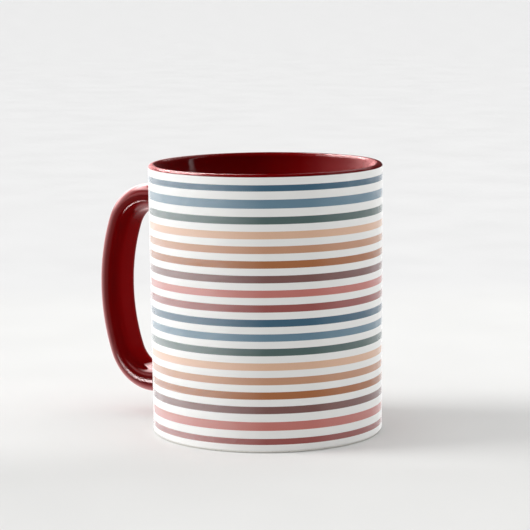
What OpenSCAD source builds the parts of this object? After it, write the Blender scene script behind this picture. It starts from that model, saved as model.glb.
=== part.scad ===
// Straight-sided stoneware mug of about 11 oz, with a strap handle and printed stripes.
// The mug stands on the XY plane with its axis on +Z, and the handle points along -X.
// It is built in the order of a real one: a fired clay cup, a clay handle joined on with slip,
// maroon glaze inside and on the handle, white glaze outside, and ink stripes in the white.

/* [Cup] */
// Height from the table to the top of the lip
cup_height = 95.3; // [80:0.1:120]
// Glazed outside diameter at the lip
lip_diameter = 82.6; // [70:0.1:100]
// Glazed outside diameter at the foot
foot_diameter = 81.4; // [70:0.1:100]
// Glazed inside diameter of the straight part of the cup
bore_diameter = 73.2; // [60:0.1:90]
// Height of the glazed floor inside the cup above the table
floor_height = 7; // [4:0.1:12]
// Radius of the inside corner between the floor and the wall
floor_fillet = 9; // [3:0.5:20]

/* [Lip] */
// Radius of the outer half of the rounded lip
lip_outer_radius = 1.3; // [0.8:0.1:3]
// Radius of the inner half of the rounded lip
lip_inner_radius = 1.5; // [0.8:0.1:3]
// Height over which the wall thins towards the lip
lip_taper = 12; // [4:1:30]
// How far the maroon glaze comes down over the outside of the lip
maroon_drop = 0.95; // [0.4:0.05:1.2]

/* [Foot] */
// Inside diameter of the foot ring where it meets the table
foot_ring_bore = 72; // [50:1:76]
// Radius of the outer bottom edge of the foot
foot_round = 0.6; // [0.2:0.1:0.6]
// Depth of the glazed well inside the foot ring
well_depth = 2.2; // [1:0.1:4]
// Sideways run of the sloping side of the well
well_slope = 1.2; // [0:0.1:3]
// Height of the bare clay between the table and the white glaze
bare_foot = 0.7; // [0.7:0.1:5]

/* [Coatings] */
// Thickness of every glaze coat
glaze = 0.4; // [0.2:0.05:0.8]
// Depth of the ink in the white glaze
ink = 0.12; // [0.1:0.01:0.3]
// Thickness of the slip that joins the handle to the cup
slip = 0.8; // [0.4:0.1:2]

/* [Handle] */
// Glazed width of the handle strap, across the grip
strap_width = 13; // [8:0.5:20]
// Glazed thickness of the handle strap, from finger side to outer side
strap_thickness = 9; // [8:0.1:14]
// Radius of the four long edges of the strap
strap_edge_radius = 3.8; // [1:0.1:3.9]
// Height of the middle of the upper root above the table
upper_root_height = 81; // [60:0.5:88]
// Distance from the cup's axis to where the upper root begins to bend
upper_root_reach = 49.2; // [44:0.1:60]
// Mid-line radius of the upper bend
upper_bend_radius = 16; // [10:0.5:25]
// Mid-line radius of the long bowed grip
grip_radius = 68; // [40:0.5:150]
// Mid-line radius of the lower bend
lower_bend_radius = 15; // [10:0.5:25]

/* [Stripes] */
// Height of the middle of the striped band above the table
stripes_middle = 47.35; // [40:0.05:60]
// Width of a regular stripe
stripe_width = 2.52; // [1:0.01:5]
// White gap between regular stripes
stripe_gap = 2.47; // [1:0.01:5]
// Width of the second stripe from the top and from the bottom
wide_stripe_width = 3; // [1:0.01:6]
// Width of the first stripe and of the last
end_stripe_width = 2.1; // [1:0.01:5]
// White gap on each side of a wide stripe
wide_stripe_gap = 2.8; // [1:0.01:5]
// Angle at the handle that the stripes leave white
stripe_opening = 50; // [30:1:90]

/* [Hidden] */
$fn = 96;
// Each colour is printed twice, once in the upper half and once in the lower half.
stripe_names = [
    "navy", "steel_blue", "dark_green", "peach", "tan",
    "rust", "mauve", "dusty_rose", "deep_rose"
];
stripe_colours = [
    "#476679", "#688495", "#556764", "#D7B59A", "#C09378",
    "#A56D49", "#795A56", "#BE7971", "#955957"
];
colours = len(stripe_names);
stripes = 2 * colours;
function stripe_node(i) = str(i < colours ? "upper_" : "lower_", stripe_names[i % colours], "_stripe");

clay_colour = "#D9CDBD";
white_colour = "#EEEEEA";
maroon_colour = "#5A0608";

bore_radius = bore_diameter / 2;
foot_ring_radius = foot_ring_bore / 2;
// Extra length that lets a cutting shape pass right through a surface.
past = 1;
arc_steps = 12;
taper_steps = 12;

// Glazed outside radius of the cup at height z.
function wall_radius(z) = (foot_diameter + (lip_diameter - foot_diameter) * z / cup_height) / 2;

function arc(centre, radius, from, to, first = 0) = [
    for (i = [first:arc_steps])
        let (a = from + (to - from) * i / arc_steps)
        centre + radius * [cos(a), sin(a)]
];

function reversed(points) = [for (i = [len(points) - 1:-1:0]) points[i]];

// The lip is two quarter circles that meet at its crown.
crown_radius = wall_radius(cup_height - lip_outer_radius) - lip_outer_radius;
maroon_edge = asin((lip_outer_radius - maroon_drop) / lip_outer_radius);

// Outer half of the lip, "inset" under the glazed surface.
function lip_outside(inset, from, to, first = 0) =
    arc([crown_radius, cup_height - lip_outer_radius], lip_outer_radius - inset, from, to, first);

// Inside of the cup from the crown of the lip to the middle of the floor.
function cup_inside(inset) =
    let (
        thin_radius = crown_radius - lip_inner_radius,
        taper_top = cup_height - lip_inner_radius
    )
    concat(
        arc([crown_radius, taper_top], lip_inner_radius - inset, 90, 180, 1),
        [
            for (i = [1:taper_steps])
                let (u = i / taper_steps, blend = (1 - cos(180 * u)) / 2)
                [thin_radius + (bore_radius - thin_radius) * blend + inset, taper_top - u * lip_taper]
        ],
        arc([bore_radius - floor_fillet, floor_height + floor_fillet], floor_fillet + inset, 0, -90),
        [[0, floor_height - inset]]
    );

// A ring in the outer surface of the cup, from "depth" under it to "out" beyond it.
module wall_band(low, high, depth, out, opening) {
    rotate([0, 0, 180 + opening / 2])
        rotate_extrude(angle = 360 - opening)
            polygon([
                [wall_radius(low) - depth, low],
                [wall_radius(low) + out, low],
                [wall_radius(high) + out, high],
                [wall_radius(high) - depth, high]
            ]);
}

// Everything inside the cup's outer wall, grown or shrunk by "grow".
module inside_wall(grow) {
    rotate_extrude()
        polygon([
            [0, -past],
            [wall_radius(-past) + grow, -past],
            [wall_radius(cup_height + past) + grow, cup_height + past],
            [0, cup_height + past]
        ]);
}

// ---- Cup and its glazes ----

module cup_body() {
    foot_arc_radius = wall_radius(bare_foot) - glaze - foot_round;
    well_top = well_depth + glaze;
    color(clay_colour)
        rotate_extrude()
            polygon(concat(
                [[0, well_top], [foot_ring_radius - well_slope, well_top], [foot_ring_radius, 0]],
                arc([foot_arc_radius, foot_round], foot_round, -90, 0),
                [[wall_radius(bare_foot) - glaze, bare_foot]],
                lip_outside(glaze, 0, maroon_edge),
                lip_outside(glaze, maroon_edge, 90, 1),
                cup_inside(glaze)
            ));
}

module inner_glaze() {
    color(maroon_colour)
        rotate_extrude()
            polygon(concat(
                lip_outside(0, maroon_edge, 90),
                cup_inside(0),
                reversed(cup_inside(glaze)),
                reversed(lip_outside(glaze, maroon_edge, 90))
            ));
}

module outer_glaze() {
    color(white_colour)
        difference() {
            rotate_extrude()
                polygon(concat(
                    [
                        [wall_radius(bare_foot) - glaze, bare_foot],
                        [wall_radius(bare_foot + glaze), bare_foot + glaze]
                    ],
                    lip_outside(0, 0, maroon_edge),
                    reversed(lip_outside(glaze, 0, maroon_edge))
                ));
            for (i = [0:stripes - 1])
                stripe_ring(i, past);
            strap(0);
        }
}

module foot_well_glaze() {
    // The film follows the sloping side of the well.
    run = well_slope * well_depth / (well_depth + glaze);
    color(white_colour)
        rotate_extrude()
            polygon([
                [0, well_depth],
                [foot_ring_radius - run, well_depth],
                [foot_ring_radius - well_slope, well_depth + glaze],
                [0, well_depth + glaze]
            ]);
}

// ---- Stripes ----

// Distance from the middle of the print to the near edge of stripe k, counted outwards.
function stripe_start(k) =
    stripe_gap / 2 + k * (stripe_width + stripe_gap)
    + (k >= colours - 2 ? wide_stripe_gap - stripe_gap : 0)
    + (k >= colours - 1 ? wide_stripe_width - stripe_width + wide_stripe_gap - stripe_gap : 0);

function stripe_size(k) =
    k == colours - 1 ? end_stripe_width : k == colours - 2 ? wide_stripe_width : stripe_width;

// Stripe i of the print, counted from the top. The two halves mirror each other.
module stripe_ring(i, out) {
    upper = i < colours;
    k = upper ? colours - 1 - i : i - colours;
    near = stripe_start(k);
    far = near + stripe_size(k);
    low = stripes_middle + (upper ? near : -far);
    wall_band(low, low + stripe_size(k), ink, out, stripe_opening);
}

module stripe(i) {
    color(stripe_colours[i % colours])
        stripe_ring(i, 0);
}

// ---- Handle ----

// Directions from a bend's centre, as [X, Z]. The bends meet the bowed grip along a direction with
// exact decimals (44-117-125 triangle, 20.6 degrees), so that neighbouring arcs share one face.
up = [0, 1];
down = [0, -1];
grip_top = [117, 44] / 125;
grip_bottom = [117, -44] / 125;
upper_bend_centre = [upper_root_reach, upper_root_height - upper_bend_radius];
grip_centre = upper_bend_centre + (upper_bend_radius - grip_radius) * grip_top;
lower_bend_centre = grip_centre + (grip_radius - lower_bend_radius) * grip_bottom;
lower_root_height = lower_bend_centre[1] - lower_bend_radius;
// The roots start inside the wall, so that the wall's own surface ends them.
root_start = bore_radius - past;

// Section of the strap, thickness along X and width along Y.
module strap_section(inset) {
    radius = strap_edge_radius - inset;
    x = strap_thickness / 2 - strap_edge_radius;
    y = strap_width / 2 - strap_edge_radius;
    polygon(concat(
        arc([x, y], radius, 0, 90),
        arc([-x, y], radius, 90, 180),
        arc([-x, -y], radius, 180, 270),
        arc([x, -y], radius, 270, 360)
    ));
}

// Part of a ring of strap, cut by a wedge between two directions from its centre.
module strap_bend(centre, radius, from, to, inset) {
    reach = 2 * (radius + strap_thickness);
    translate([centre[0], 0, centre[1]])
        rotate([90, 0, 0])
            intersection() {
                rotate_extrude()
                    translate([radius, 0])
                        strap_section(inset);
                linear_extrude(strap_width + past, center = true)
                    polygon([[0, 0], reach * from, reach * (from + to), reach * to]);
            }
}

module strap_root(reach, height, inset) {
    mirror([1, 0, 0])
        translate([root_start, 0, height])
            rotate([0, 90, 0])
                linear_extrude(reach - root_start)
                    strap_section(inset);
}

module upper_root(inset) {
    strap_root(upper_root_reach, upper_root_height, inset);
}

module lower_root(inset) {
    strap_root(lower_bend_centre[0], lower_root_height, inset);
}

// The whole strap, "inset" under its glazed surface.
module strap(inset) {
    upper_root(inset);
    lower_root(inset);
    mirror([1, 0, 0]) {
        strap_bend(upper_bend_centre, upper_bend_radius, up, grip_top, inset);
        strap_bend(grip_centre, grip_radius, grip_top, grip_bottom, inset);
        strap_bend(lower_bend_centre, lower_bend_radius, grip_bottom, down, inset);
    }
}

module handle_body() {
    color(clay_colour)
        difference() {
            strap(glaze);
            inside_wall(slip - glaze);
        }
}

// Slip between the coped end of a handle root and the wall of the cup.
module upper_handle_joint() {
    color(clay_colour)
        difference() {
            intersection() {
                upper_root(glaze);
                inside_wall(slip - glaze);
            }
            inside_wall(-glaze);
        }
}

module lower_handle_joint() {
    color(clay_colour)
        difference() {
            intersection() {
                lower_root(glaze);
                inside_wall(slip - glaze);
            }
            inside_wall(-glaze);
        }
}

module handle_glaze() {
    color(maroon_colour)
        difference() {
            strap(0);
            strap(glaze);
            inside_wall(-glaze);
        }
}

cup_body();
inner_glaze();
outer_glaze();
foot_well_glaze();
handle_body();
upper_handle_joint();
lower_handle_joint();
handle_glaze();
for (i = [0:stripes - 1])
    stripe(i);
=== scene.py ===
"""Looks of the ceramic mug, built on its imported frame. Metres, +Z up, handle along -X."""

import math

import bmesh
import bpy
from mathutils import Matrix, Vector


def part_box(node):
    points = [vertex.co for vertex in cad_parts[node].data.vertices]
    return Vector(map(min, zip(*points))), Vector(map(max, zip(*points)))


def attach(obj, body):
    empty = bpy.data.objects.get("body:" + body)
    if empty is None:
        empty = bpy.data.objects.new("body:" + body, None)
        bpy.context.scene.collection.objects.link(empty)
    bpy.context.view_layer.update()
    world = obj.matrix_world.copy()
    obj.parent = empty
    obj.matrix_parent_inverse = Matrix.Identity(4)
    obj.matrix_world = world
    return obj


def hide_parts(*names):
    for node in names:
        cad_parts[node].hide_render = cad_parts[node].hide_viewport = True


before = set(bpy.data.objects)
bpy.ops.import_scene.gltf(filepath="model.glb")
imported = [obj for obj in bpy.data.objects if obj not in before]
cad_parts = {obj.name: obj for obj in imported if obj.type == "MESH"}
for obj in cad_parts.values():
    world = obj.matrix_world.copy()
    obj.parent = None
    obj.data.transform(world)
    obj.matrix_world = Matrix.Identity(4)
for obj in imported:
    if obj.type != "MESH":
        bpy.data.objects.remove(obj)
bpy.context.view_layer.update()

# ---- Places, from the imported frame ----

STRIPES = sorted(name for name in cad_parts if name.endswith("_stripe"))
MUG_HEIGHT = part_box("inner_glaze")[1].z
WHITE_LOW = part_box("outer_glaze")[0].z
WHITE_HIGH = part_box("outer_glaze")[1].z
WELL_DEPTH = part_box("foot_well_glaze")[0].z
WELL_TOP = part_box("foot_well_glaze")[1].z
WELL_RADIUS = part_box("foot_well_glaze")[1].x
STRAP_LOW, STRAP_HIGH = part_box("handle_glaze")

# ---- Sizes that the frame's boxes don't give ----

GLAZE = 0.0004
LIP_OUTER_RADIUS = 0.0013
LIP_INNER_RADIUS = 0.0015
LIP_TAPER = 0.012
BORE_RADIUS = 0.0366
FLOOR_HEIGHT = 0.007
FLOOR_FILLET = 0.009
FOOT_RING_RADIUS = 0.036
FOOT_ROUND = 0.0006
WELL_SLOPE = 0.0012
STRIPE_OPENING = math.radians(50)
INK_DEPTH = 0.00012
# The print stands this much proud of the glaze, so that the two don't share a surface.
INK_RISE = 0.00001
# Small rounding of the foot ring's inner edge.
FOOT_INNER_ROUND = 0.0005
STRAP_THICKNESS = 0.009
STRAP_EDGE_RADIUS = 0.0038
UPPER_BEND_RADIUS = 0.016
GRIP_RADIUS = 0.068
LOWER_BEND_RADIUS = 0.015
# The bends meet the grip along the long side of a 44-117-125 triangle.
BEND_ANGLE = math.atan2(117, 44)
# The strap's ends lie inside the cup's wall, this far out from the inside surface.
ROOT_COVER = 0.0015
# A small bead of glaze widens the strap by this much where it meets the cup.
ROOT_FLARE = 0.0016

QUARTER = math.pi / 2
TURN = 2 * math.pi

# ---- Fineness of the meshes ----

AROUND = 288
ARC_STEPS = 24
FOOT_ARC_STEPS = 6
COAT_ARC_STEPS = 8
TAPER_STEPS = 24
ROOT_STEPS = 16
BEND_STEPS = 40
GRIP_STEPS = 60
SECTION_CORNER_STEPS = 10
SURROUND_STEPS = 96
MERGE_DISTANCE = 1e-7
SHARP_ANGLE = math.radians(40)

# The straight taper of the wall, from the top edges of the lowest and the highest stripe.
STRIPE_TOPS = sorted((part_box(name)[1].z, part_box(name)[1].y) for name in STRIPES)
(TAPER_LOW, RADIUS_LOW), (TAPER_HIGH, RADIUS_HIGH) = STRIPE_TOPS[0], STRIPE_TOPS[-1]
TAPER_SLOPE = (RADIUS_HIGH - RADIUS_LOW) / (TAPER_HIGH - TAPER_LOW)


def wall_radius(z):
    """Glazed outside radius."""
    return RADIUS_LOW + TAPER_SLOPE * (z - TAPER_LOW)


# ---- Mesh helpers ----


def finish_mesh(name, bm):
    """The finished object: seams merged, faces outward, smooth but for its sharp edges."""
    bmesh.ops.remove_doubles(bm, verts=bm.verts, dist=MERGE_DISTANCE)
    bmesh.ops.recalc_face_normals(bm, faces=bm.faces)
    mesh = bpy.data.meshes.new(name)
    bm.to_mesh(mesh)
    bm.free()
    mesh.shade_smooth()
    mesh.set_sharp_from_angle(angle=SHARP_ANGLE)
    obj = bpy.data.objects.new(name, mesh)
    bpy.context.scene.collection.objects.link(obj)
    return obj


def skin(bm, rings, wrap_rings, wrap_points):
    """Faces between neighbouring rings of vertices."""
    ring_pairs = len(rings) if wrap_rings else len(rings) - 1
    count = len(rings[0])
    point_pairs = count if wrap_points else count - 1
    for i in range(ring_pairs):
        a, b = rings[i], rings[(i + 1) % len(rings)]
        for j in range(point_pairs):
            k = (j + 1) % count
            bm.faces.new((a[j], b[j], b[k], a[k]))


def lathe(name, profile, start=0.0, sweep=TURN):
    """A closed outline of (radius, height) points, turned about the Z axis."""
    whole = sweep == TURN
    bm = bmesh.new()
    rings = []
    for i in range(AROUND if whole else AROUND + 1):
        angle = start + sweep * i / AROUND
        rings.append([bm.verts.new((r * math.cos(angle), r * math.sin(angle), z)) for r, z in profile])
    skin(bm, rings, wrap_rings=whole, wrap_points=True)
    if not whole:
        bm.faces.new(rings[0])
        bm.faces.new(reversed(rings[-1]))
    return finish_mesh(name, bm)


def arc(centre, radius, from_angle, to_angle, steps=ARC_STEPS):
    """Points (radius, height) on a circular arc; angles in radians."""
    turn = (to_angle - from_angle) / steps
    angles = [from_angle + turn * i for i in range(steps + 1)]
    return [(centre[0] + radius * math.cos(a), centre[1] + radius * math.sin(a)) for a in angles]


# ---- Outlines ----

CROWN_RADIUS = wall_radius(MUG_HEIGHT - LIP_OUTER_RADIUS) - LIP_OUTER_RADIUS
MAROON_EDGE = math.asin((WHITE_HIGH - MUG_HEIGHT + LIP_OUTER_RADIUS) / LIP_OUTER_RADIUS)


def lip_outside(inset, from_angle, to_angle):
    """Part of the outer half of the rounded lip, "inset" under the glaze."""
    centre = (CROWN_RADIUS, MUG_HEIGHT - LIP_OUTER_RADIUS)
    return arc(centre, LIP_OUTER_RADIUS - inset, from_angle, to_angle)


def cup_inside(inset):
    """From the crown of the lip to the middle of the floor, "inset" under the glaze."""
    taper_top = MUG_HEIGHT - LIP_INNER_RADIUS
    thin = CROWN_RADIUS - LIP_INNER_RADIUS
    points = arc((CROWN_RADIUS, taper_top), LIP_INNER_RADIUS - inset, QUARTER, 2 * QUARTER)[1:]
    for i in range(1, TAPER_STEPS + 1):
        u = i / TAPER_STEPS
        blend = (1 - math.cos(math.pi * u)) / 2
        points.append((thin + (BORE_RADIUS - thin) * blend + inset, taper_top - u * LIP_TAPER))
    corner = (BORE_RADIUS - FLOOR_FILLET, FLOOR_HEIGHT + FLOOR_FILLET)
    points += arc(corner, FLOOR_FILLET + inset, 0, -QUARTER)
    return points + [(0.0, FLOOR_HEIGHT - inset)]


# ---- Materials ----


# Where most of a noise texture's values lie.
NOISE_RANGE = (0.3, 0.7)


class Nodes:
    """A short way to build a node material around one Principled shader."""

    def __init__(self, name):
        self.material = bpy.data.materials.new(name)
        self.material.use_nodes = True
        self.tree = self.material.node_tree
        self.shader = self.tree.nodes["Principled BSDF"]
        self.place = self.new("ShaderNodeTexCoord").outputs["Object"]

    def new(self, kind, **settings):
        node = self.tree.nodes.new(kind)
        for key, value in settings.items():
            setattr(node, key, value)
        return node

    def link(self, source, target):
        self.tree.links.new(source, target)

    def noise(self, scale, detail=2.0, roughness=0.5):
        node = self.new("ShaderNodeTexNoise")
        node.inputs["Scale"].default_value = scale
        node.inputs["Detail"].default_value = detail
        node.inputs["Roughness"].default_value = roughness
        self.link(self.place, node.inputs["Vector"])
        return node.outputs["Fac"]

    def spread(self, value, low, high, to_low, to_high):
        node = self.new("ShaderNodeMapRange")
        node.inputs["From Min"].default_value = low
        node.inputs["From Max"].default_value = high
        node.inputs["To Min"].default_value = to_low
        node.inputs["To Max"].default_value = to_high
        self.link(value, node.inputs["Value"])
        return node.outputs["Result"]

    def uneven(self, scale, low, high):
        """A value that wanders between low and high."""
        return self.spread(self.noise(scale), *NOISE_RANGE, low, high)

    def mix(self, factor, a, b):
        node = self.new("ShaderNodeMix", data_type="RGBA")
        self.link(factor, node.inputs["Factor"])
        for socket, colour in ((node.inputs["A"], a), (node.inputs["B"], b)):
            if isinstance(colour, tuple):
                socket.default_value = (*colour, 1.0)
            else:
                self.link(colour, socket)
        return node.outputs["Result"]

    def bump(self, height, distance, under=None):
        node = self.new("ShaderNodeBump")
        node.inputs["Distance"].default_value = distance
        node.inputs["Strength"].default_value = 1.0
        self.link(height, node.inputs["Height"])
        if under is not None:
            self.link(under, node.inputs["Normal"])
        return node.outputs["Normal"]

    def finish(self, colour, roughness, normal, ior):
        self.link(colour, self.shader.inputs["Base Color"])
        self.link(roughness, self.shader.inputs["Roughness"])
        self.link(normal, self.shader.inputs["Normal"])
        self.shader.inputs["IOR"].default_value = ior
        return self.material


GLAZE_IOR = 1.5
MATT_IOR = 1.45
CLAY_GRAIN_DEPTH = 0.00003
# Specks show where the noise is above this range.
SPECK_RANGE = (0.7, 0.76)
WAVE_SCALE = 70.0
WAVE_DEPTH = 0.00006
PEEL_SCALE = 900.0
PEEL_DEPTH = 0.000004


def glaze_normal(n):
    """The slow waves and the fine orange peel of a fired glaze."""
    waves = n.bump(n.noise(WAVE_SCALE, detail=1.0), WAVE_DEPTH)
    return n.bump(n.noise(PEEL_SCALE, detail=2.0), PEEL_DEPTH, under=waves)


def white_glaze():
    n = Nodes("white_glaze")
    cloud = n.noise(45.0, detail=3.0)
    colour = n.mix(cloud, (0.83, 0.83, 0.815), (0.88, 0.88, 0.865))
    roughness = n.uneven(300.0, 0.06, 0.1)
    return n.finish(colour, roughness, glaze_normal(n), GLAZE_IOR)


def maroon_glaze():
    n = Nodes("maroon_glaze")
    cloud = n.noise(60.0, detail=3.0)
    colour = n.mix(cloud, (0.104, 0.0007, 0.001), (0.130, 0.0012, 0.0016))
    roughness = n.uneven(260.0, 0.06, 0.11)
    return n.finish(colour, roughness, glaze_normal(n), GLAZE_IOR)


def bare_clay():
    n = Nodes("bare_clay")
    body = n.mix(n.noise(120.0, detail=4.0), (0.76, 0.74, 0.69), (0.82, 0.80, 0.76))
    specks = n.spread(n.noise(1500.0, detail=1.0), *SPECK_RANGE, 0.0, 1.0)
    colour = n.mix(specks, body, (0.45, 0.40, 0.34))
    roughness = n.uneven(700.0, 0.75, 0.95)
    grain = n.bump(n.noise(2500.0, detail=3.0), CLAY_GRAIN_DEPTH)
    return n.finish(colour, roughness, grain, MATT_IOR)


THIN_INK = 1.07
THIN_INK_GREY = 0.004
FULL_INK = 0.95


def ink(name, colour):
    """Printed ink fired into the glaze: a fine grain of the pigment in an even colour."""
    n = Nodes(name + "_ink")
    grain = n.noise(3500.0, detail=2.0)
    thin = tuple(min(1.0, c * THIN_INK + THIN_INK_GREY) for c in colour)
    full = tuple(c * FULL_INK for c in colour)
    mixed = n.mix(grain, full, thin)
    roughness = n.uneven(300.0, 0.07, 0.11)
    return n.finish(mixed, roughness, glaze_normal(n), GLAZE_IOR)


INK_COLOURS = {
    "navy": (0.057, 0.127, 0.192),
    "steel_blue": (0.142, 0.238, 0.312),
    "dark_green": (0.090, 0.138, 0.134),
    "peach": (0.713, 0.458, 0.323),
    "tan": (0.538, 0.291, 0.184),
    "rust": (0.388, 0.150, 0.064),
    "mauve": (0.207, 0.104, 0.096),
    "dusty_rose": (0.532, 0.187, 0.163),
    "deep_rose": (0.321, 0.099, 0.091),
}
MATERIALS = {
    "white_glaze": white_glaze(),
    "maroon_glaze": maroon_glaze(),
    "clay": bare_clay(),
}
for ink_name, ink_colour in INK_COLOURS.items():
    MATERIALS[ink_name + "_ink"] = ink(ink_name, ink_colour)


def dress(obj, slot):
    obj.data.materials.clear()
    obj.data.materials.append(MATERIALS[slot])


def place(obj, node, slot):
    """Hangs a new piece on the body in place of its CAD node."""
    dress(obj, slot)
    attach(obj, "root")
    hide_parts(node)
    return obj


# ---- Cup ----


def make_clay_cup():
    foot_arc_radius = wall_radius(WHITE_LOW) - GLAZE - FOOT_ROUND
    profile = [(0.0, WELL_TOP), (FOOT_RING_RADIUS - WELL_SLOPE, WELL_TOP)]
    corner = (FOOT_RING_RADIUS + FOOT_INNER_ROUND, FOOT_INNER_ROUND)
    profile += arc(corner, FOOT_INNER_ROUND, 2 * QUARTER, 3 * QUARTER, FOOT_ARC_STEPS)
    profile += arc((foot_arc_radius, FOOT_ROUND), FOOT_ROUND, -QUARTER, 0)
    profile += [(wall_radius(WHITE_LOW) - GLAZE, WHITE_LOW)]
    profile += lip_outside(GLAZE, 0, QUARTER)
    profile += cup_inside(GLAZE)
    return place(lathe("clay_cup", profile), "cup_body", "clay")


def make_inner_glaze():
    profile = lip_outside(0, MAROON_EDGE, QUARTER) + cup_inside(0)
    profile += reversed(lip_outside(GLAZE, MAROON_EDGE, QUARTER) + cup_inside(GLAZE))
    return place(lathe("maroon_lining", profile), "inner_glaze", "maroon_glaze")


def make_outer_glaze():
    centre = (wall_radius(WHITE_LOW) - GLAZE, WHITE_LOW + GLAZE)
    profile = arc(centre, GLAZE, -QUARTER, 0, COAT_ARC_STEPS) + lip_outside(0, 0, MAROON_EDGE)
    profile += reversed(lip_outside(GLAZE, 0, MAROON_EDGE))
    return place(lathe("white_coat", profile), "outer_glaze", "white_glaze")


def make_well_glaze():
    inner = FOOT_RING_RADIUS - WELL_SLOPE
    profile = [(0.0, WELL_DEPTH), (WELL_RADIUS, WELL_DEPTH), (inner, WELL_TOP), (0.0, WELL_TOP)]
    return place(lathe("well_coat", profile), "foot_well_glaze", "white_glaze")


def make_stripe(node):
    low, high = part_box(node)
    start = math.pi + STRIPE_OPENING / 2
    profile = [
        (wall_radius(low.z) - INK_DEPTH, low.z),
        (wall_radius(low.z) + INK_RISE, low.z),
        (wall_radius(high.z) + INK_RISE, high.z),
        (wall_radius(high.z) - INK_DEPTH, high.z),
    ]
    colour = node.split("_", 1)[1].rsplit("_", 1)[0]
    band = lathe(node + "_print", profile, start, TURN - STRIPE_OPENING)
    return place(band, node, colour + "_ink")


# ---- Handle ----


def strap_line():
    """(distance out, height, heading) along the middle of the strap, from upper root to lower."""
    half = STRAP_THICKNESS / 2
    grip_middle = -STRAP_LOW.x - half
    upper_height = STRAP_HIGH.z - half
    reach = (UPPER_BEND_RADIUS - GRIP_RADIUS) * math.sin(BEND_ANGLE)
    bend_out = grip_middle - GRIP_RADIUS - reach
    root_start = BORE_RADIUS + ROOT_COVER
    stations = []
    for i in range(ROOT_STEPS):
        stations.append((root_start + (bend_out - root_start) * i / ROOT_STEPS, upper_height, 0.0))
    centre = Vector((bend_out, upper_height - UPPER_BEND_RADIUS))
    heading = 0.0
    arcs = (
        (UPPER_BEND_RADIUS, BEND_ANGLE, BEND_STEPS),
        (GRIP_RADIUS, math.pi - 2 * BEND_ANGLE, GRIP_STEPS),
        (LOWER_BEND_RADIUS, BEND_ANGLE, BEND_STEPS),
    )
    for number, (radius, angle, count) in enumerate(arcs):
        if number:
            last = arcs[number - 1][0]
            centre += (last - radius) * Vector((math.sin(heading), math.cos(heading)))
        for i in range(count + (number == 2)):
            a = heading + angle * i / count
            point = centre + radius * Vector((math.sin(a), math.cos(a)))
            stations.append((point.x, point.y, a))
        heading += angle
    end_out, end_height, _ = stations[-1]
    for i in range(1, ROOT_STEPS + 1):
        stations.append((end_out + (root_start - end_out) * i / ROOT_STEPS, end_height, math.pi))
    return stations


def strap_section(grow):
    """Outline of the strap as (across the thickness, across the width), grown by "grow"."""
    x = STRAP_THICKNESS / 2 - STRAP_EDGE_RADIUS
    y = STRAP_HIGH.y - STRAP_EDGE_RADIUS
    radius = STRAP_EDGE_RADIUS + grow
    points = []
    for number, (cx, cy) in enumerate(((x, y), (-x, y), (-x, -y), (x, -y))):
        points += arc((cx, cy), radius, number * QUARTER, (number + 1) * QUARTER, SECTION_CORNER_STEPS)
    return points


def make_strap(name, node, slot, grow):
    """The bent strap, its section grown by "grow" and widened in a small bead at each root."""
    bm = bmesh.new()
    rings = []
    for out, height, heading in strap_line():
        gap = max(0.0, 1 - (out - wall_radius(height)) / ROOT_FLARE)
        flare = ROOT_FLARE * (1 - math.sqrt(max(0.0, 1 - min(gap, 1.0) ** 2)))
        ring = []
        for across, side in strap_section(flare + grow):
            x = out + across * math.sin(heading)
            z = height + across * math.cos(heading)
            ring.append(bm.verts.new((-x, side, z)))
        rings.append(ring)
    skin(bm, rings, wrap_rings=False, wrap_points=True)
    bm.faces.new(rings[0])
    bm.faces.new(reversed(rings[-1]))
    return place(finish_mesh(name, bm), node, slot)


clay_cup = make_clay_cup()
lining = make_inner_glaze()
white_coat = make_outer_glaze()
make_well_glaze()
prints = [make_stripe(node) for node in STRIPES]
clay_strap = make_strap("clay_strap", "handle_body", "clay", -GLAZE)
strap = make_strap("maroon_strap", "handle_glaze", "maroon_glaze", 0.0)
for piece in (clay_cup, lining, white_coat, clay_strap, strap, *prints):
    piece.visible_glossy = False
for inner_node in ("upper_handle_joint", "lower_handle_joint"):
    dress(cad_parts[inner_node], "clay")

# ---- Camera ----

CAMERA_AZIMUTH = math.radians(36.0)
CAMERA_DISTANCE = 0.7867
CAMERA_HEIGHT = 0.1720
CAMERA_PITCH = math.radians(8.18)
CAMERA_YAW = math.radians(-0.032)
CAMERA_ROLL = math.radians(-0.537)
CAMERA_LENS = 152.4
CAMERA_SENSOR = 36.0
CAMERA_CLIP = (0.05, 20.0)


def outward(azimuth):
    """Level direction from the mug towards an azimuth; 0 is -Y, and it grows towards +X."""
    return Vector((math.sin(azimuth), -math.cos(azimuth), 0.0))


def make_camera():
    data = bpy.data.cameras.new("camera")
    data.lens = CAMERA_LENS
    data.sensor_width = CAMERA_SENSOR
    data.clip_start, data.clip_end = CAMERA_CLIP
    camera = bpy.data.objects.new("camera", data)
    bpy.context.scene.collection.objects.link(camera)
    level = -outward(CAMERA_AZIMUTH - CAMERA_YAW)
    ahead = level * math.cos(CAMERA_PITCH) - Vector((0, 0, math.sin(CAMERA_PITCH)))
    right = ahead.cross(Vector((0, 0, 1))).normalized()
    above = right.cross(ahead)
    turned = Matrix.Rotation(-CAMERA_ROLL, 3, ahead)
    axes = Matrix((turned @ right, turned @ above, -ahead)).transposed()
    place_at = outward(CAMERA_AZIMUTH) * CAMERA_DISTANCE + Vector((0, 0, CAMERA_HEIGHT))
    camera.matrix_world = Matrix.Translation(place_at) @ axes.to_4x4()
    bpy.context.scene.camera = camera


make_camera()

# ---- Studio ----

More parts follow.
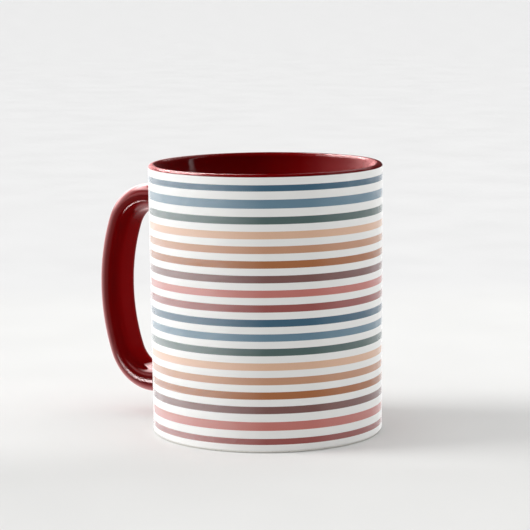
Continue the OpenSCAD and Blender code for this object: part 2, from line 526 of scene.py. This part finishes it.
FLOOR_RADIUS = 8.0
FLOOR_SIDES = 96
FLOOR_WAVE_DEPTH = 0.0001
FLOOR_FRONT = (0.69, 0.69, 0.68)
FLOOR_NEAR = (0.795, 0.795, 0.785)
FLOOR_FAR = (0.762, 0.762, 0.762)
FRONT_STEP = (-0.075, -0.01)
FLOOR_STEP = (0.26, 0.36)


def make_floor():
    """Plain pale floor, a little darker in front of the mug and far behind it."""
    bm = bmesh.new()
    bmesh.ops.create_circle(bm, cap_ends=True, radius=FLOOR_RADIUS, segments=FLOOR_SIDES)
    floor = finish_mesh("floor", bm)
    n = Nodes("floor")
    back = n.new("ShaderNodeVectorMath", operation="DOT_PRODUCT")
    n.link(n.place, back.inputs[0])
    back.inputs[1].default_value = -outward(CAMERA_AZIMUTH)
    colour = FLOOR_FRONT
    for step, tone in ((FRONT_STEP, FLOOR_NEAR), (FLOOR_STEP, FLOOR_FAR)):
        past = n.new("ShaderNodeMapRange", interpolation_type="SMOOTHSTEP")
        past.inputs["From Min"].default_value, past.inputs["From Max"].default_value = step
        n.link(back.outputs["Value"], past.inputs["Value"])
        colour = n.mix(past.outputs["Result"], colour, tone)
    waves = n.bump(n.noise(60.0), FLOOR_WAVE_DEPTH)
    floor.data.materials.append(n.finish(colour, n.uneven(20.0, 0.6, 0.7), waves, MATT_IOR))
    floor.visible_glossy = False
    return floor


def from_camera(angle):
    """Level direction at an angle in degrees to the left of the camera, seen from the mug."""
    return outward(CAMERA_AZIMUTH - math.radians(angle))


SKY_MEAN = 0.69
SKY_SLOPE = 0.07
SKY_SIDES = 0.52
SKY_DARKEST = -22.0
BACKGROUND = 0.87


def make_world():
    """Soft light from all round, weakest on the camera's side; lights only, no reflections."""
    world = bpy.data.worlds.new("studio")
    world.use_nodes = True
    tree = world.node_tree
    background = tree.nodes["Background"]
    background.inputs["Color"].default_value = (1.0, 1.0, 1.0, 1.0)
    place = tree.nodes.new("ShaderNodeTexCoord").outputs["Generated"]
    towards = tree.nodes.new("ShaderNodeVectorMath")
    towards.operation = "DOT_PRODUCT"
    tree.links.new(place, towards.inputs[0])
    towards.inputs[1].default_value = from_camera(SKY_DARKEST)
    # SKY_MEAN + SKY_SIDES - x * (2 * SKY_SIDES * x + SKY_SLOPE), x being how far it lies in front
    level = towards.outputs["Value"]
    steps = (
        ("MULTIPLY_ADD", level, -2 * SKY_SIDES, -SKY_SLOPE),
        ("MULTIPLY_ADD", level, None, SKY_MEAN + SKY_SIDES),
    )
    value = None
    for operation, first, second, third in steps:
        step = tree.nodes.new("ShaderNodeMath")
        step.operation = operation
        tree.links.new(first, step.inputs[0])
        if second is None:
            tree.links.new(value, step.inputs[1])
        else:
            step.inputs[1].default_value = second
        step.inputs[2].default_value = third
        value = step.outputs["Value"]
    seen = tree.nodes.new("ShaderNodeMix")
    tree.links.new(tree.nodes.new("ShaderNodeLightPath").outputs["Is Camera Ray"], seen.inputs["Factor"])
    tree.links.new(value, seen.inputs["A"])
    seen.inputs["B"].default_value = BACKGROUND
    tree.links.new(seen.outputs["Result"], background.inputs["Strength"])
    world.cycles_visibility.glossy = False
    bpy.context.scene.world = world


def lights_only(obj, receivers):
    """Light linking: only these pieces receive the light."""
    group = bpy.data.collections.new(obj.name + "_receivers")
    for piece in receivers:
        group.objects.link(piece)
    obj.light_linking.receiver_collection = group


KEY_ANGLE = 90.0
KEY_HEIGHT = math.radians(35)
KEY_SOFTNESS = math.radians(28)
KEY_STRENGTH = 2.0


def make_key(receivers):
    """A far soft light that only draws the mug's shadow on the floor."""
    data = bpy.data.lights.new("key", "SUN")
    data.energy = KEY_STRENGTH
    data.angle = KEY_SOFTNESS
    key = bpy.data.objects.new("key", data)
    bpy.context.scene.collection.objects.link(key)
    aim = -from_camera(KEY_ANGLE) * math.cos(KEY_HEIGHT) - Vector((0, 0, math.sin(KEY_HEIGHT)))
    key.rotation_mode = "QUATERNION"
    key.rotation_quaternion = aim.to_track_quat("-Z", "Y")
    key.visible_glossy = False
    lights_only(key, receivers)


def make_lamp(name, angle, distance, height, aim_height, size, strength, receivers):
    """A soft lamp at an angle to the camera's left that lights some pieces; gives no reflections."""
    data = bpy.data.lights.new(name, "AREA")
    data.shape = "RECTANGLE"
    data.size, data.size_y = size
    data.energy = strength
    lamp = bpy.data.objects.new(name, data)
    bpy.context.scene.collection.objects.link(lamp)
    at = from_camera(angle) * distance + Vector((0, 0, height))
    aim = Vector((0, 0, aim_height)) - at
    lamp.location = at
    lamp.rotation_mode = "QUATERNION"
    lamp.rotation_quaternion = aim.to_track_quat("-Z", "Y")
    lamp.visible_glossy = False
    lamp.visible_camera = False
    lights_only(lamp, receivers)
    lamp.light_linking.blocker_collection = lamp.light_linking.receiver_collection


SURROUND_LOW = -1.5
SURROUND_HIGH = 2.0


def make_surround(name, radius, receivers, stops, low=None, high=None, tint=(1.0, 1.0, 1.0)):
    """A clear glowing screen round the mug that is seen only in reflections.

    stops are (angle to the camera's left in degrees, brightness); low and high are (start, end)
    heights over which it fades in from below and out towards the top.
    """
    profile = [(radius, SURROUND_LOW), (radius, SURROUND_HIGH)]
    bm = bmesh.new()
    rings = []
    for i in range(SURROUND_STEPS):
        a = TURN * i / SURROUND_STEPS
        rings.append([bm.verts.new((r * math.cos(a), r * math.sin(a), z)) for r, z in profile])
    skin(bm, rings, wrap_rings=True, wrap_points=False)
    screen = finish_mesh(name, bm)
    n = Nodes(name)
    angle = []
    for axis in (from_camera(0), from_camera(90)):
        part = n.new("ShaderNodeVectorMath", operation="DOT_PRODUCT")
        n.link(n.place, part.inputs[0])
        part.inputs[1].default_value = axis
        angle.append(part.outputs["Value"])
    turn = n.new("ShaderNodeMath", operation="ARCTAN2")
    n.link(angle[1], turn.inputs[0])
    n.link(angle[0], turn.inputs[1])
    ramp = n.new("ShaderNodeValToRGB")
    n.link(n.spread(turn.outputs["Value"], -math.pi, math.pi, 0.0, 1.0), ramp.inputs["Fac"])
    most = max(brightness for _, brightness in stops)
    elements = ramp.color_ramp.elements
    elements.remove(elements[1])
    elements[0].position = 0.0
    elements[0].color = (0, 0, 0, 1)
    for degrees, brightness in stops:
        stop = elements.new(degrees / 360 + 0.5)
        stop.color = (brightness / most,) * 3 + (1.0,)
    strength = n.spread(ramp.outputs["Color"], 0.0, 1.0, 0.0, most)
    height = n.new("ShaderNodeSeparateXYZ")
    n.link(n.place, height.inputs["Vector"])
    for fade, values in ((low, (0.0, 1.0)), (high, (1.0, 0.0))):
        if fade:
            part = n.new("ShaderNodeMath", operation="MULTIPLY")
            n.link(strength, part.inputs[0])
            n.link(n.spread(height.outputs["Z"], *fade, *values), part.inputs[1])
            strength = part.outputs["Value"]
    n.tree.nodes.remove(n.shader)
    glow = n.new("ShaderNodeEmission")
    n.link(strength, glow.inputs["Strength"])
    glow.inputs["Color"].default_value = (*tint, 1.0)
    both = n.new("ShaderNodeAddShader")
    n.link(glow.outputs["Emission"], both.inputs[0])
    n.link(n.new("ShaderNodeBsdfTransparent").outputs["BSDF"], both.inputs[1])
    n.link(both.outputs["Shader"], n.tree.nodes["Material Output"].inputs["Surface"])
    n.material.cycles.emission_sampling = "NONE"
    screen.data.materials.append(n.material)
    for ray in ("camera", "diffuse", "transmission", "shadow"):
        setattr(screen, "visible_" + ray, False)
    lights_only(screen, receivers)


STRAP_TINT = (1.0, 0.7, 0.7)
STREAK_TINT = (1.0, 0.85, 0.85)
LINING_TINT = (1.0, 0.5, 0.5)
SIDE_TINT = (1.0, 0.4, 0.4)
LEFT_LOBE = (
    (2, 0.0), (16, 0.9), (30, 1.7), (45, 3.0), (62, 4.0), (80, 4.8),
    (100, 4.8), (117, 3.65), (132, 2.8), (150, 1.8),
)

floor = make_floor()
make_world()
make_key([floor])
make_surround(
    "cup_surround",
    1.1,
    [white_coat, *prints],
    (
        (-178, 1.1), (-143, 1.1), (-128, 1.1), (-108, 1.0), (-85, 0.9), (-62, 0.6), (-46, 0.0),
        *LEFT_LOBE, (178, 1.2),
    ),
)
make_surround(
    "strip",
    1.15,
    [white_coat, *prints, lining],
    ((-93, 0.0), (-91, 1.0), (-86, 1.0), (-84, 0.0)),
    low=(-0.06, -0.02),
)
make_surround(
    "strap_surround",
    0.24,
    [strap],
    (
        (-179, 0.5), (-150, 0.1), (-125, 0.04), (-100, 0.02), (-60, 0.003), (80, 0.003), (90, 0.5),
        (98, 1.3), (113, 2.2), (140, 1.8), (165, 1.2), (179, 0.8),
    ),
    high=(0.1, 0.14),
    tint=STRAP_TINT,
)
make_surround(
    "strap_rear",
    0.25,
    [strap],
    ((95, 0.0), (112, 3.0), (130, 5.0), (150, 5.5), (166, 6.0), (174, 3.5), (179, 2.0)),
    low=(0.09, 0.12),
    high=(0.25, 0.3),
    tint=STRAP_TINT,
)
make_surround(
    "strap_top",
    0.26,
    [strap],
    ((66, 0.0), (76, 1.2), (88, 4.0), (100, 9.0), (125, 10.0), (150, 8.0), (172, 4.0), (179, 0.0)),
    low=(0.195, 0.235),
    high=(0.325, 0.34),
    tint=STRAP_TINT,
)
make_surround(
    "strap_side",
    0.27,
    [strap],
    ((50, 0.0), (62, 2.0), (88, 2.0), (100, 0.5), (110, 0.0)),
    low=(0.066, 0.085),
    high=(0.14, 0.22),
    tint=SIDE_TINT,
)
make_surround(
    "strap_streak",
    0.28,
    [strap],
    ((66, 0.0), (72, 20.0), (80, 20.0), (90, 0.0)),
    low=(-0.062, -0.044),
    high=(-0.031, -0.023),
    tint=STREAK_TINT,
)
make_surround(
    "lining_surround",
    1.25,
    [lining],
    (
        (-179, 0.1), (-60, 0.0), (40, 0.0), (58, 0.24), (78, 0.8), (103, 1.6), (118, 2.6),
        (138, 2.8), (165, 2.4), (179, 0.6),
    ),
    high=(0.58, 0.75),
    tint=LINING_TINT,
)
make_surround(
    "lip_surround",
    1.28,
    [lining],
    (
        (-179, 0.0), (-175, 0.1), (-168, 1.5), (-150, 0.8), (-120, 0.2), (-60, 0.0), (40, 0.0),
        (60, 0.6), (74, 1.6), (86, 6.0), (97, 10.0), (128, 11.0), (150, 9.0), (166, 9.0),
        (174, 2.5), (179, 0.0),
    ),
    low=(0.58, 0.75),
    tint=STRAP_TINT,
)
make_lamp("lining_lamp", 95, 0.8, 0.5, MUG_HEIGHT, (0.5, 0.3), 10.0, [lining])
make_lamp("strap_lamp_above", 140, 0.5, 0.65, MUG_HEIGHT / 2, (0.3, 0.3), 18.0, [strap])
make_lamp("strap_lamp_below", 130, 0.5, -0.55, MUG_HEIGHT / 2, (0.3, 0.3), 12.0, [strap])
make_lamp("strap_lamp_inside", -95, 0.7, 0.05, MUG_HEIGHT / 2, (0.3, 0.3), 4.0, [strap])

bpy.context.scene.view_settings.view_transform = "Standard"
